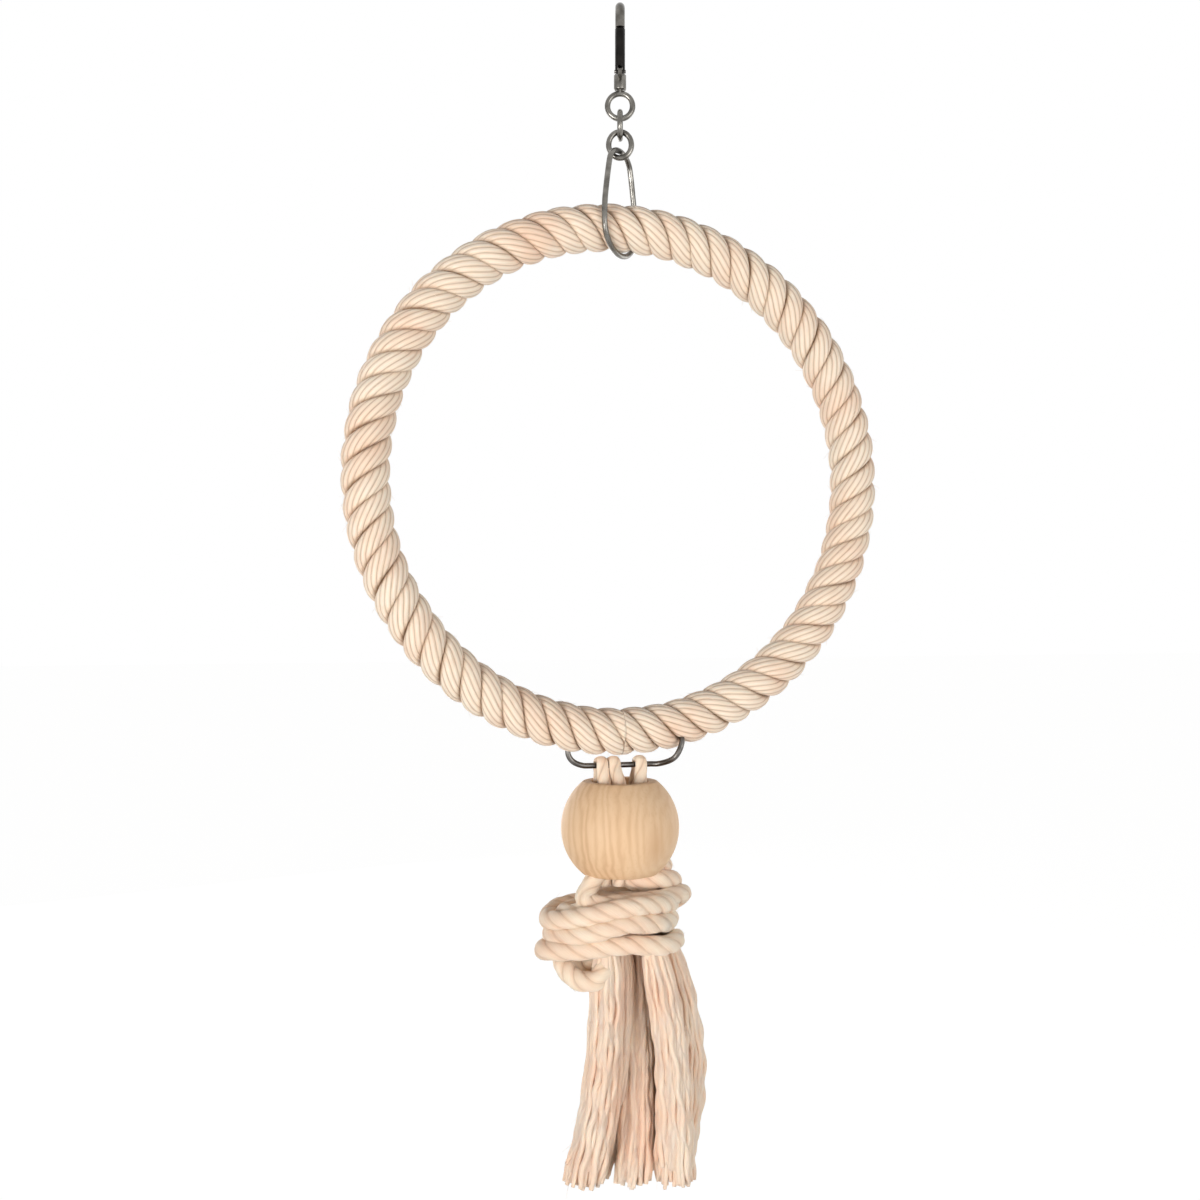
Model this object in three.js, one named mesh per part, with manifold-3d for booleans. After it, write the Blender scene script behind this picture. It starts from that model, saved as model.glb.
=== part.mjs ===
import * as THREE from 'three';
import { mergeVertices } from 'three/addons/utils/BufferGeometryUtils.js';
import Module from 'manifold-3d';

// Rope ring hanging toy for cage birds, in millimetres, +Z up.
// The origin is the inside of the snap hook's top bow, where the toy hangs on a bar.

const wasm = await Module();
wasm.setup();

// Fits
const GAP = 0.3;
const SEAT_GAP = 0.35;

// Snap hook
const HOOK_WIRE_R = 2;
const HOOK_BOW_R = 8;
const HOOK_NOSE_LEN = 3;
const HOOK_SPINE = [[7.8, -11], [6.6, -18], [5, -24.5], [2.4, -30]];
const BARREL_R = 2.6;
const BARREL_TOP = -26;
const BARREL_BOTTOM = -32.4;
const PIVOT_Y = -6.6;
const PIVOT_Z = -27;
const PIVOT_PIN_R = 0.75;
const PIVOT_PIN_LEN = 4.8;
const LUG_THICK = 1.6;
const LUG_R = 1.9;
const LUG_DROP = 2.5;
const GATE_R = 2.1;
const GATE_BORE_LEN = 9.5;
const SPRING_COIL_R = 0.75;
const SPRING_WIRE_R = 0.15;
const SPRING_TURNS = 7;
const SPRING_LEN = 6.2;

// Swivel eye and chain
const CHAIN_WIRE_R = 1.2;
const EYE_R = 5.3;
const STUD_R = 1.2;
const STUD_HEAD_R = 2;
const STUD_HEAD_THICK = 1.2;
const CHAIN_TURN = THREE.MathUtils.degToRad(-15);
const LINK_HALF_LEN = 5.5;
const LINK_HALF_WIDTH = 4.8;

// Hanging bail
const BAIL_WIRE_R = 1.2;
const BAIL_TURN = THREE.MathUtils.degToRad(40);
const BAIL_BOW_HALF = 10.4;
const BAIL_BOW_RISE = 7;
const BAIL_SHOULDER = 9;

// Rope ring
const RING_R = 106.5;
const ROPE_R = 10;
const CORE_R = 2;
const CORE_FIT = 0.7;
const RING_STEPS = 64;
const ROPE_SEAM = 0.5;

// Tassel hanger
const HANGER_WIRE_R = 1.2;
const HANGER_CROWN_HALF = 13;
const HANGER_LEFT_X = -22.5;
const HANGER_RIGHT_X = 25;
const HANGER_RIGHT_TURN = THREE.MathUtils.degToRad(48);
const CORD_FOLD = 2.4;

// Tassel cords
const CORD_WIDTH = 5.8;
const CORD_X = [-7.8, -1.7, 7.8];
const CORD_DEPTH = [5.9, 8.4, 5.9];
const CORD_EDGE = 1.4;

// Wooden bead
const BEAD_R = 25;
const BEAD_HEIGHT = 38.9;
const BEAD_BORE_R = 12.2;
const BEAD_CHAMFER = 0.8;
const BEAD_DROP = 6.8;

// Knot and frayed strands
const KNOT_HEIGHT = 34.4;
const KNOT_WRAPS = [[17.4, 6.3, 4, 6.5], [22.6, 8.2, -3.2, 19.5], [17, 7.4, -5.5, 27.5]];
const KNOT_FLATNESS = [0.86, 0.8, 0.86];
const KNOT_TILT = [-0.03, -0.14, -0.1];
const KNOT_LOBE = [6.6, 10, 9.5];
const STRAND_TOP_R = 5.4;
const STRAND_MID_R = 6;
const STRAND_END_R = 7.2;
const STRAND_FLARE = 2.5;
const STRAND_END_Z = -494;

// Colours and finishes
const NICKEL = { color: 0x6f6d68, roughness: 0.35, metalness: 0.95 };
const STEEL = { color: 0x5d5a57, roughness: 0.42, metalness: 0.95 };
const COTTON = { color: 0xe6c8af, roughness: 0.95, metalness: 0 };
const BEECH = { color: 0xe2bb90, roughness: 0.6, metalness: 0 };

/** Joins equal corners, drops faces that have closed up and turns every face outwards. */
function weld(geometry) {
  const plain = geometry.clone();
  plain.deleteAttribute('normal');
  plain.deleteAttribute('uv');
  const merged = mergeVertices(plain, 1e-4);
  const corner = merged.getAttribute('position');
  const index = merged.getIndex().array;
  const faces = [];
  const a = new THREE.Vector3();
  const b = new THREE.Vector3();
  const c = new THREE.Vector3();
  let volume = 0;
  for (let i = 0; i < index.length; i += 3) {
    const [p, q, r] = [index[i], index[i + 1], index[i + 2]];
    if (p === q || q === r || r === p) continue;
    faces.push([p, q, r]);
    a.fromBufferAttribute(corner, p);
    b.fromBufferAttribute(corner, q);
    c.fromBufferAttribute(corner, r);
    volume += a.dot(b.cross(c));
  }
  const turned = volume < 0 ? faces.map(([p, q, r]) => [p, r, q]) : faces;
  merged.setIndex(turned.flat());
  merged.computeVertexNormals();
  return merged;
}

/** Gives the solid that a closed geometry bounds. */
function solid(geometry) {
  const closed = weld(geometry);
  return new wasm.Manifold(new wasm.Mesh({
    numProp: 3,
    vertProperties: new Float32Array(closed.getAttribute('position').array),
    triVerts: new Uint32Array(closed.getIndex().array),
  }));
}

/** Gives the geometry of a solid. */
function surface(body) {
  const mesh = body.getMesh();
  const geometry = new THREE.BufferGeometry();
  geometry.setAttribute('position', new THREE.BufferAttribute(mesh.vertProperties, 3));
  geometry.setIndex(new THREE.BufferAttribute(mesh.triVerts, 1));
  return geometry;
}

/** Gives a round outline of a number of sides. */
function circle(radius, sides) {
  const outline = [];
  for (let i = 0; i < sides; i += 1) {
    const turn = (2 * Math.PI * i) / sides;
    outline.push(new THREE.Vector2(radius * Math.cos(turn), radius * Math.sin(turn)));
  }
  return outline;
}

/** Gives a round wire along an open curve. */
function wire(curve, radius, sides, steps) {
  const section = new THREE.Shape(circle(radius, sides));
  return new THREE.ExtrudeGeometry(section, { steps, extrudePath: curve });
}

/** Gives a round wire along a closed flat loop of points, whose plane faces along normal. */
function loopWire(points, radius, sides, normal) {
  const place = [];
  const faces = [];
  const count = points.length;
  for (let i = 0; i < count; i += 1) {
    const after = points[(i + 1) % count];
    const before = points[(i + count - 1) % count];
    const along = after.clone().sub(before).normalize();
    const across = new THREE.Vector3().crossVectors(normal, along);
    for (let k = 0; k < sides; k += 1) {
      const turn = (2 * Math.PI * (k + 0.5)) / sides;
      const at = points[i].clone();
      at.addScaledVector(across, radius * Math.cos(turn));
      at.addScaledVector(normal, radius * Math.sin(turn));
      place.push(at.x, at.y, at.z);
      const next = (i + 1) % count;
      const side = (k + 1) % sides;
      faces.push(i * sides + k, next * sides + k, next * sides + side);
      faces.push(i * sides + k, next * sides + side, i * sides + side);
    }
  }
  const geometry = new THREE.BufferGeometry();
  geometry.setAttribute('position', new THREE.Float32BufferAttribute(place, 3));
  geometry.setIndex(faces);
  return geometry;
}

/** Gives a solid of revolution about Z from outline points of radius and height. */
function turnedAboutZ(outline, sides) {
  const points = outline.map(([radius, height]) => new THREE.Vector2(radius, height));
  return new THREE.LatheGeometry(points, sides).rotateX(Math.PI / 2);
}

/** Gives a rod between two points. */
function rod(from, to, radius, sides) {
  return wire(new THREE.LineCurve3(from, to), radius, sides, 1);
}

/** Gives a plate of an outline in the YZ plane, as thick as given along X. */
function plateAlongX(outline, thick) {
  const shape = new THREE.Shape(outline.map(([y, z]) => new THREE.Vector2(y, z)));
  const plate = new THREE.ExtrudeGeometry(shape, { depth: thick, bevelEnabled: false });
  const toWorld = new THREE.Matrix4().makeBasis(
    new THREE.Vector3(0, 1, 0),
    new THREE.Vector3(0, 0, 1),
    new THREE.Vector3(1, 0, 0),
  );
  return plate.applyMatrix4(toWorld).translate(-thick / 2, 0, 0);
}

/** Gives an ellipsoid. */
function ellipsoid(radii, at) {
  return new THREE.SphereGeometry(1, 18, 12).scale(...radii).translate(...at);
}

/** Gives an oval wrap of the knot, tilted about Y. */
function wrap(radius, tube, depth, tilt, at) {
  const ring = new THREE.TorusGeometry(radius, tube, 8, 22).scale(1, depth, 1);
  return ring.rotateY(tilt).translate(...at);
}

/** Makes a named part from a closed geometry. */
function part(name, geometry, finish) {
  const mesh = new THREE.Mesh(weld(geometry), new THREE.MeshStandardMaterial(finish));
  mesh.name = name;
  return mesh;
}

/** Makes a named group of parts. */
function assembly(name, ...members) {
  const group = new THREE.Group();
  group.name = name;
  group.add(...members);
  return group;
}

const at = (x, y, z) => new THREE.Vector3(x, y, z);
const UP = at(0, 0, 1);

// Heights of the hanging chain, each worked out from the one above
const BOW_Z = HOOK_WIRE_R - HOOK_BOW_R;
const NOSE_Z = BOW_Z - HOOK_NOSE_LEN;
const EYE_Z = BARREL_BOTTOM - GAP - CHAIN_WIRE_R - EYE_R;
const LINK_STEP = 2 * CHAIN_WIRE_R + GAP;
const EYE_LOW_Z = EYE_Z - EYE_R;
const UPPER_LINK_Z = EYE_LOW_Z + LINK_STEP - LINK_HALF_LEN;
const LOWER_LINK_Z = UPPER_LINK_Z + LINK_STEP - 2 * LINK_HALF_LEN;
const BAIL_TOP_Z = LOWER_LINK_Z - LINK_HALF_LEN + CHAIN_WIRE_R + GAP + BAIL_WIRE_R;
const ROPE_TOP_Z = -90.9;
const RING_Z = ROPE_TOP_Z - RING_R;
const ROPE_LOW_Z = RING_Z - RING_R;
const HANGER_Z = ROPE_LOW_Z - ROPE_R - CORD_FOLD - 2 * GAP - HANGER_WIRE_R;
const BEAD_Z = HANGER_Z - BEAD_DROP - BEAD_HEIGHT / 2;
const KNOT_TOP = BEAD_Z - BEAD_HEIGHT / 2 - GAP;
const KNOT_BOTTOM = KNOT_TOP - KNOT_HEIGHT;

// Snap hook body: bent rod, swivel barrel and the lug that carries the gate
function snapBody() {
  const bend = [
    at(0, -HOOK_BOW_R, NOSE_Z),
    at(0, -HOOK_BOW_R, BOW_Z - 1),
    at(0, -HOOK_BOW_R, BOW_Z),
  ];
  for (let i = 1; i < 8; i += 1) {
    const turn = Math.PI - (Math.PI * i) / 8;
    bend.push(at(0, HOOK_BOW_R * Math.cos(turn), BOW_Z + HOOK_BOW_R * Math.sin(turn)));
  }
  bend.push(at(0, HOOK_BOW_R, BOW_Z), ...HOOK_SPINE.map(([y, z]) => at(0, y, z)));
  const bar = solid(wire(new THREE.CatmullRomCurve3(bend), HOOK_WIRE_R, 10, 44));
  const barrel = solid(turnedAboutZ([
    [0, BARREL_BOTTOM],
    [BARREL_R - 0.4, BARREL_BOTTOM],
    [BARREL_R, BARREL_BOTTOM + 0.4],
    [BARREL_R, BARREL_TOP - 0.4],
    [BARREL_R - 0.4, BARREL_TOP],
    [0, BARREL_TOP],
  ], 20));
  const lugRoot = -0.63 * BARREL_R;
  const lugOutline = [[lugRoot, PIVOT_Z + LUG_R - LUG_DROP], [lugRoot, PIVOT_Z - LUG_R]];
  for (let i = 0; i <= 8; i += 1) {
    const turn = -Math.PI / 2 - (Math.PI * i) / 8;
    lugOutline.push([PIVOT_Y + LUG_R * Math.cos(turn), PIVOT_Z + LUG_R * Math.sin(turn)]);
  }
  const lug = solid(plateAlongX(lugOutline, LUG_THICK));
  const pinHole = solid(rod(at(-3, PIVOT_Y, PIVOT_Z), at(3, PIVOT_Y, PIVOT_Z), PIVOT_PIN_R + GAP, 12));
  const below = at(0, 0, BARREL_BOTTOM - BARREL_R);
  const above = at(0, 0, BARREL_TOP + 2 * BARREL_R);
  const studHole = solid(rod(below, above, STUD_R + GAP, 16));
  const headRoom = solid(rod(at(0, 0, BARREL_TOP), above, STUD_HEAD_R + GAP, 16));
  return surface(bar.add(barrel).add(lug).subtract(pinHole).subtract(studHole).subtract(headRoom));
}

// Gate: round rod, forked over the lug, bored for its return spring
const GATE_DIRECTION = at(0, -HOOK_BOW_R - PIVOT_Y, NOSE_Z - PIVOT_Z);
const GATE_LEN = GATE_DIRECTION.length() - GAP;
GATE_DIRECTION.normalize();
const GATE_LEAN = Math.atan2(-GATE_DIRECTION.y, GATE_DIRECTION.z);

function gatePlace(geometry) {
  return geometry.rotateX(GATE_LEAN).translate(0, PIVOT_Y, PIVOT_Z);
}

function snapGate() {
  const bar = solid(turnedAboutZ([
    [0, -GATE_R],
    [GATE_R * 0.7, -GATE_R * 0.7],
    [GATE_R, 0],
    [GATE_R, GATE_LEN - 0.5],
    [GATE_R - 0.5, GATE_LEN],
    [0, GATE_LEN],
  ], 20));
  const slotWidth = LUG_THICK + 2 * GAP;
  const slot = solid(new THREE.BoxGeometry(slotWidth, 6, 6).translate(0, 0, LUG_R + GAP - 3));
  const bore = solid(rod(at(0, 0, 0), at(0, 0, GATE_BORE_LEN), SPRING_COIL_R + SPRING_WIRE_R + GAP, 12));
  const pinHole = solid(rod(at(-3, 0, 0), at(3, 0, 0), PIVOT_PIN_R + GAP, 12));
  return gatePlace(surface(bar.subtract(slot).subtract(bore).subtract(pinHole)));
}

// Return spring: one wire wound on a helix, straight for a little at both ends
function gateSpring() {
  const points = [];
  const first = LUG_R + GAP + SPRING_WIRE_R + 0.2;
  for (let i = 0; i <= SPRING_TURNS * 8; i += 1) {
    const turn = (2 * Math.PI * i) / 8;
    const height = first + (SPRING_LEN * i) / (SPRING_TURNS * 8);
    points.push(at(SPRING_COIL_R * Math.cos(turn), SPRING_COIL_R * Math.sin(turn), height));
  }
  let least = Infinity;
  points.forEach((p, i) => {
    points.forEach((q, j) => {
      if (j - i >= 6) least = Math.min(least, p.distanceTo(q) - 2 * SPRING_WIRE_R);
    });
  });
  console.log(`gate spring least gap ${least.toFixed(2)} mm`);
  const lead = 2 * SPRING_WIRE_R;
  points.unshift(points[0].clone().add(at(0, -lead, 0)));
  points.push(points[points.length - 1].clone().add(at(0, lead, 0)));
  return gatePlace(wire(new THREE.CatmullRomCurve3(points), SPRING_WIRE_R, 5, SPRING_TURNS * 8));
}

// Swivel eye: closed ring with a headed stud through the barrel
function swivelEye() {
  const ring = solid(new THREE.TorusGeometry(EYE_R, CHAIN_WIRE_R, 8, 28)
    .rotateX(Math.PI / 2).rotateZ(CHAIN_TURN).translate(0, 0, EYE_Z));
  const headLow = BARREL_TOP + GAP;
  const stud = solid(turnedAboutZ([
    [0, EYE_Z + EYE_R],
    [STUD_R, EYE_Z + EYE_R],
    [STUD_R, headLow],
    [STUD_HEAD_R, headLow],
    [STUD_HEAD_R, headLow + STUD_HEAD_THICK * 0.6],
    [STUD_HEAD_R * 0.6, headLow + STUD_HEAD_THICK],
    [0, headLow + STUD_HEAD_THICK],
  ], 16));
  return surface(ring.add(stud));
}

// Chain link, an oval loop in a plane that faces along normal
function chainLink(height, normal) {
  const points = [];
  const side = new THREE.Vector3().crossVectors(normal, at(0, 0, 1));
  for (let i = 0; i < 28; i += 1) {
    const turn = (2 * Math.PI * i) / 28;
    const place = at(0, 0, height + LINK_HALF_LEN * Math.cos(turn));
    points.push(place.addScaledVector(side, LINK_HALF_WIDTH * Math.sin(turn)));
  }
  return loopWire(points, CHAIN_WIRE_R, 8, normal);
}

// Hanging bail: pear-shaped loop round the rope, turned about Z
const BAIL_REACH = ROPE_R + GAP + BAIL_WIRE_R;

function hangingBail() {
  const side = at(Math.sin(BAIL_TURN), Math.cos(BAIL_TURN), 0);
  const normal = new THREE.Vector3().crossVectors(side, at(0, 0, 1));
  const half = BAIL_REACH / Math.cos(BAIL_TURN);
  const outline = [];
  for (let i = 0; i <= 12; i += 1) {
    const turn = -Math.PI + (Math.PI * i) / 12;
    outline.push([half * Math.cos(turn), ROPE_TOP_Z + BAIL_REACH * Math.sin(turn)]);
  }
  outline.push([half, ROPE_TOP_Z + BAIL_SHOULDER * 0.55]);
  outline.push([half * 0.97, ROPE_TOP_Z + BAIL_SHOULDER * 1.1]);
  const bowZ = BAIL_TOP_Z - BAIL_BOW_RISE;
  for (let i = 0; i <= 8; i += 1) {
    const turn = (Math.PI * (i + 0.4)) / 8.8;
    outline.push([BAIL_BOW_HALF * Math.cos(turn), bowZ + BAIL_BOW_RISE * Math.sin(turn)]);
  }
  outline.push([-half * 0.97, ROPE_TOP_Z + BAIL_SHOULDER * 1.1]);
  outline.push([-half, ROPE_TOP_Z + BAIL_SHOULDER * 0.55]);
  const knots = outline.map(([s, z]) => at(side.x * s, side.y * s, z));
  const points = new THREE.CatmullRomCurve3(knots, true).getSpacedPoints(56).slice(0, 56);
  return loopWire(points, BAIL_WIRE_R, 8, normal);
}

// Rope ring: steel core, rope with a butt seam at the bottom
function hoopCore() {
  return new THREE.TorusGeometry(RING_R, CORE_R, 8, RING_STEPS)
    .rotateX(Math.PI / 2).rotateY(Math.PI / 2).translate(0, 0, RING_Z);
}

class RingArc extends THREE.Curve {
  getPoint(share, target = new THREE.Vector3()) {
    const seam = ROPE_SEAM / RING_R;
    const turn = seam / 2 + (2 * Math.PI - seam) * share;
    return target.set(-RING_R * Math.sin(turn), 0, RING_Z - RING_R * Math.cos(turn));
  }

  getPointAt(share, target) {
    return this.getPoint(share, target);
  }
}

// Wire hanger under the ring: a straight crown for the cords, both ends turned up into the rope
function ringPoint(x) {
  return at(x, 0, RING_Z - Math.sqrt(RING_R * RING_R - x * x));
}

const HANGER_LEFT_END = ringPoint(HANGER_LEFT_X).add(at(0, 0, -CORE_R - 2 * GAP));
const RIGHT_SIDE = at(0, -Math.sin(HANGER_RIGHT_TURN), -Math.cos(HANGER_RIGHT_TURN));
const HANGER_RIGHT_END = ringPoint(HANGER_RIGHT_X).addScaledVector(RIGHT_SIDE, CORE_R + 2 * GAP);
const HANGER_LEFT_FOOT = HANGER_LEFT_END.clone().add(at(0, 0, -9));
const HANGER_RIGHT_FOOT = ringPoint(HANGER_RIGHT_X).addScaledVector(RIGHT_SIDE, ROPE_R + 0.8);

function tasselHanger() {
  const bend = [
    HANGER_LEFT_END,
    HANGER_LEFT_END.clone().lerp(HANGER_LEFT_FOOT, 0.5),
    HANGER_LEFT_FOOT,
    at(HANGER_LEFT_X + 2, 0, HANGER_Z + 2),
    at(-HANGER_CROWN_HALF - 3.5, 0, HANGER_Z + 0.25),
    at(-HANGER_CROWN_HALF, 0, HANGER_Z),
    at(-HANGER_CROWN_HALF / 2, 0, HANGER_Z),
    at(0, 0, HANGER_Z),
    at(HANGER_CROWN_HALF / 2, 0, HANGER_Z),
    at(HANGER_CROWN_HALF, 0, HANGER_Z),
    at(HANGER_CROWN_HALF + 4, -2, HANGER_Z + 0.3),
    at(HANGER_RIGHT_X - 3, -8, HANGER_Z + 3.6),
    HANGER_RIGHT_FOOT,
    HANGER_RIGHT_FOOT.clone().lerp(HANGER_RIGHT_END, 0.5),
    HANGER_RIGHT_END,
  ];
  return wire(new THREE.CatmullRomCurve3(bend, false, 'centripetal'), HANGER_WIRE_R, 8, 60);
}

function hoopRope() {
  const section = new THREE.Shape(circle(ROPE_R, 16));
  section.holes.push(new THREE.Path(circle(CORE_R + CORE_FIT, 8)));
  const tube = solid(new THREE.ExtrudeGeometry(section, { steps: RING_STEPS, extrudePath: new RingArc() }));
  const leftWay = HANGER_LEFT_END.clone().add(at(0, 0, 1));
  const leftHole = solid(rod(HANGER_LEFT_FOOT.clone().add(at(0, 0, -4)), leftWay, HANGER_WIRE_R + GAP, 10));
  const rightMouth = HANGER_RIGHT_FOOT.clone().addScaledVector(RIGHT_SIDE, 4);
  const rightWay = HANGER_RIGHT_END.clone().addScaledVector(RIGHT_SIDE, -1);
  const rightHole = solid(rod(rightMouth, rightWay, HANGER_WIRE_R + 2 * GAP, 10));
  return surface(tube.subtract(leftHole).subtract(rightHole));
}

// Tassel cord, folded flat over the hanger, with two legs down through the bead
function tasselCord(x, depth) {
  const inner = HANGER_WIRE_R + GAP;
  const outer = inner + CORD_FOLD;
  const foot = KNOT_TOP + GAP;
  const outline = [[-depth, foot], [-depth, HANGER_Z - 6]];
  for (let i = 0; i <= 8; i += 1) {
    const turn = Math.PI - (Math.PI * i) / 8;
    outline.push([outer * Math.cos(turn), HANGER_Z + outer * Math.sin(turn)]);
  }
  outline.push([depth, HANGER_Z - 6], [depth, foot], [inner, foot]);
  for (let i = 0; i <= 8; i += 1) {
    const turn = (Math.PI * i) / 8;
    outline.push([inner * Math.cos(turn), HANGER_Z + inner * Math.sin(turn)]);
  }
  outline.push([-inner, foot]);
  const block = solid(plateAlongX(outline, CORD_WIDTH).translate(x, 0, 0));
  const round = new THREE.Shape();
  const w = CORD_WIDTH / 2;
  round.moveTo(-w + CORD_EDGE, -depth);
  round.lineTo(w - CORD_EDGE, -depth);
  round.quadraticCurveTo(w, -depth, w, -depth + CORD_EDGE);
  round.lineTo(w, depth - CORD_EDGE);
  round.quadraticCurveTo(w, depth, w - CORD_EDGE, depth);
  round.lineTo(-w + CORD_EDGE, depth);
  round.quadraticCurveTo(-w, depth, -w, depth - CORD_EDGE);
  round.lineTo(-w, -depth + CORD_EDGE);
  round.quadraticCurveTo(-w, -depth, -w + CORD_EDGE, -depth);
  const depthZ = HANGER_Z + outer - foot + 2 * outer;
  const column = new THREE.ExtrudeGeometry(round, { depth: depthZ, bevelEnabled: false, curveSegments: 3 });
  return surface(block.intersect(solid(column.translate(x, 0, foot - outer))));
}

// Bead: turned ball with a flat above and below and a wide bore
function woodenBead() {
  const half = BEAD_HEIGHT / 2;
  const edge = Math.asin(half / BEAD_R);
  const outline = [[BEAD_BORE_R, -half + BEAD_CHAMFER], [BEAD_BORE_R + BEAD_CHAMFER, -half]];
  for (let i = 0; i <= 12; i += 1) {
    const turn = -edge + (2 * edge * i) / 12;
    outline.push([BEAD_R * Math.cos(turn), BEAD_R * Math.sin(turn)]);
  }
  outline.push([BEAD_BORE_R + BEAD_CHAMFER, half], [BEAD_BORE_R, half - BEAD_CHAMFER]);
  outline.push(outline[0]);
  return turnedAboutZ(outline, 36).translate(0, 0, BEAD_Z);
}

// Knot: the wraps of the bundle round itself, with the loop standing out at the left
function tasselKnot() {
  const wraps = KNOT_WRAPS.map(([radius, tube, x, drop], i) => (
    wrap(radius, tube, KNOT_FLATNESS[i], KNOT_TILT[i], [x, 0, KNOT_TOP - drop])
  ));
  wraps.push(
    ellipsoid([20, 17, 18], [0, 0, KNOT_TOP - 18]),
    ellipsoid([20.5, 15.5, 11], [7.6, 0, KNOT_BOTTOM + 4.5]),
  );
  const lump = wraps.map(solid).reduce((sum, next) => sum.add(next));
  const room = new THREE.BoxGeometry(4 * BEAD_R, 4 * BEAD_R, KNOT_HEIGHT)
    .translate(0, 0, KNOT_TOP - KNOT_HEIGHT / 2);
  const lobe = solid(ellipsoid(KNOT_LOBE, [-21.2, 0, KNOT_BOTTOM - 3.2]));
  return surface(lump.intersect(solid(room)).add(lobe));
}

// Frayed strand, flaring from the knot down to its cut end
function tasselStrand(top, low, endZ, swell) {
  const topZ = KNOT_BOTTOM - SEAT_GAP;
  const outline = [[0, 1], [STRAND_TOP_R * 0.72, 1], [STRAND_TOP_R, 0.955], [STRAND_TOP_R + 0.4, 0.75]];
  outline.push([STRAND_MID_R, 0.5], [STRAND_MID_R + 0.6, 0.25], [STRAND_END_R, 0.04]);
  outline.push([STRAND_END_R * 0.85, 0], [0, 0]);
  const geometry = turnedAboutZ(outline.reverse(), 12);
  const corner = geometry.getAttribute('position');
  for (let i = 0; i < corner.count; i += 1) {
    const share = corner.getZ(i);
    const fall = 1 - share;
    const bow = swell * Math.sin(Math.PI * fall);
    corner.setXYZ(
      i,
      corner.getX(i) + THREE.MathUtils.lerp(top[0], low[0], fall ** STRAND_FLARE) + bow,
      corner.getY(i) + THREE.MathUtils.lerp(top[1], low[1], fall ** 2),
      THREE.MathUtils.lerp(endZ, topZ, share),
    );
  }
  return geometry;
}

const STRANDS = [
  [[-8, -7.6], [-18.6, -9.4], STRAND_END_Z, 0],
  [[9, 10.6], [4.6, -6.6], STRAND_END_Z + 1, 1.6],
  [[11.8, -8.2], [21.6, -9.8], STRAND_END_Z + 3, 6.6],
  [[-1.8, 4.4], [-13, 6.4], STRAND_END_Z + 1, 0],
  [[21, 13.2], [10.8, 12], STRAND_END_Z + 1, 2],
  [[20.4, 1.2], [25.4, 5.6], STRAND_END_Z + 5, 9],
];

const snapHook = assembly(
  'snap_hook',
  part('snap_body', snapBody().rotateZ(CHAIN_TURN), NICKEL),
  part('snap_gate', snapGate().rotateZ(CHAIN_TURN), NICKEL),
  part('gate_pivot_pin', rod(
    at(-PIVOT_PIN_LEN / 2, PIVOT_Y, PIVOT_Z),
    at(PIVOT_PIN_LEN / 2, PIVOT_Y, PIVOT_Z),
    PIVOT_PIN_R,
    12,
  ).rotateZ(CHAIN_TURN), STEEL),
  part('gate_spring', gateSpring().rotateZ(CHAIN_TURN), STEEL),
  part('swivel_eye', swivelEye(), NICKEL),
);

const chain = assembly(
  'chain',
  part('chain_link_upper', chainLink(UPPER_LINK_Z, at(1, 0, 0).applyAxisAngle(UP, CHAIN_TURN)), NICKEL),
  part('chain_link_lower', chainLink(LOWER_LINK_Z, at(0, 1, 0).applyAxisAngle(UP, CHAIN_TURN)), NICKEL),
  part('hanging_bail', hangingBail(), NICKEL),
);

const ropeRing = assembly(
  'rope_ring',
  part('hoop_core', hoopCore(), STEEL),
  part('hoop_rope', hoopRope(), COTTON),
  part('tassel_hanger', tasselHanger(), STEEL),
);

const tassel = assembly(
  'tassel',
  ...CORD_X.map((x, i) => part(`tassel_cord_${i + 1}`, tasselCord(x, CORD_DEPTH[i]), COTTON)),
  part('wooden_bead', woodenBead(), BEECH),
  part('tassel_knot', tasselKnot(), COTTON),
  ...STRANDS.map((strand, i) => part(`tassel_strand_${i + 1}`, tasselStrand(...strand), COTTON)),
);

const group = assembly('rope_ring_bird_toy', snapHook, chain, ropeRing, tassel);

export default group;
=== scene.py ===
"""Looks of the rope ring bird toy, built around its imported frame, in metres with +Z up."""

from __future__ import annotations

import logging
import math
from dataclasses import dataclass
from enum import Enum

import bpy
import numpy as np
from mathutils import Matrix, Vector

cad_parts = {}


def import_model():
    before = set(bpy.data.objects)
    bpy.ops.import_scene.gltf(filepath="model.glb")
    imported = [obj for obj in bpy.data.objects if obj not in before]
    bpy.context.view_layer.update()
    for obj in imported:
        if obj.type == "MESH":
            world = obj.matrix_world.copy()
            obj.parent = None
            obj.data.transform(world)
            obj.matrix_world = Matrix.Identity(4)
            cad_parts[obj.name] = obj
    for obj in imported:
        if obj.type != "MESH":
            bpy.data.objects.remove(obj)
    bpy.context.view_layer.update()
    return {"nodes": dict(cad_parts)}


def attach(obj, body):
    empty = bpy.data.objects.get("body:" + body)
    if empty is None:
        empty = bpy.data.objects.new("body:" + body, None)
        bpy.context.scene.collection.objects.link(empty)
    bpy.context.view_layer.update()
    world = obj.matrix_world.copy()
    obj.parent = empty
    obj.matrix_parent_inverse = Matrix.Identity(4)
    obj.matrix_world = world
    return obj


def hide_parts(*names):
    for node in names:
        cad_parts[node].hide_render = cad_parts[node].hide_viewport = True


MM = 0.001
TAU = 2 * math.pi
GOLDEN_ANGLE = 2.399963
CUT_HOLLOW = 0.35
WHITE = (1, 1, 1, 1)
LOG = logging.getLogger("bird_toy")

Span = tuple[float, float]
Point = tuple[float, float, float]
Values = dict[str | int, object] | None
Chance = np.random.Generator
Tree = bpy.types.NodeTree
Socket = bpy.types.NodeSocket
Material = bpy.types.Material
Piece = bpy.types.Object


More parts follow.
